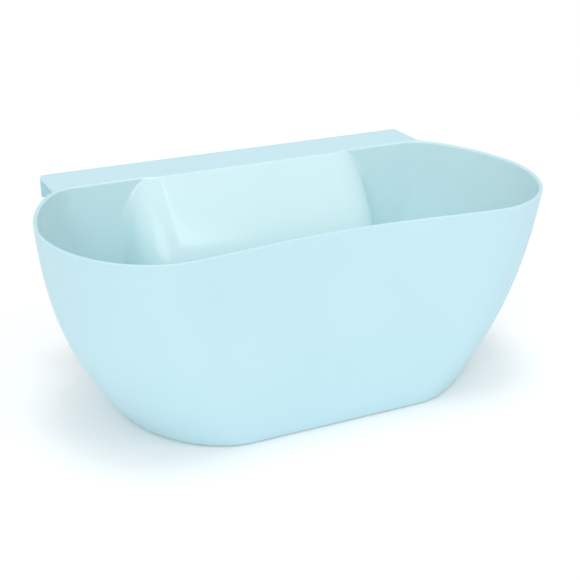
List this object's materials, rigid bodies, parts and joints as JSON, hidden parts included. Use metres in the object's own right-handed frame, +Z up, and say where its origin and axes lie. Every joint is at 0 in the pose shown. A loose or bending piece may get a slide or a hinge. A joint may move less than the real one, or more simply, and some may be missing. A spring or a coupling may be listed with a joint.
{
  "type": "hook-on feed bucket",
  "caption": "Lobed, bowl-sided plastic feed tub with a full-width channel hanger along its back, which hooks it over a rail, board or stall door.",
  "frame": {"origin": "under the middle of the whole bucket, on the surface that it stands on", "axes": "+X along the long side, to the right as seen from the open front; +Y towards the hanger at the back; +Z up"},
  "size_m": [0.42, 0.2396, 0.168],
  "materials": {
    "tub_plastic": "pale blue polypropylene, satin outside and glossier inside",
    "rim_plastic": "pale blue polypropylene, rounded and polished edge",
    "hanger_plastic": "pale blue polypropylene, satin"
  },
  "bodies": {
    "root": {"base_plate": "tub_plastic", "front_wall": "tub_plastic", "right_end_wall": "tub_plastic", "left_end_wall": "tub_plastic", "back_panel": "tub_plastic", "front_rim": "rim_plastic", "right_rim": "rim_plastic", "left_rim": "rim_plastic", "hanger_shelf": "hanger_plastic", "hanger_lip": "hanger_plastic"}
  },
  "joints": []
}
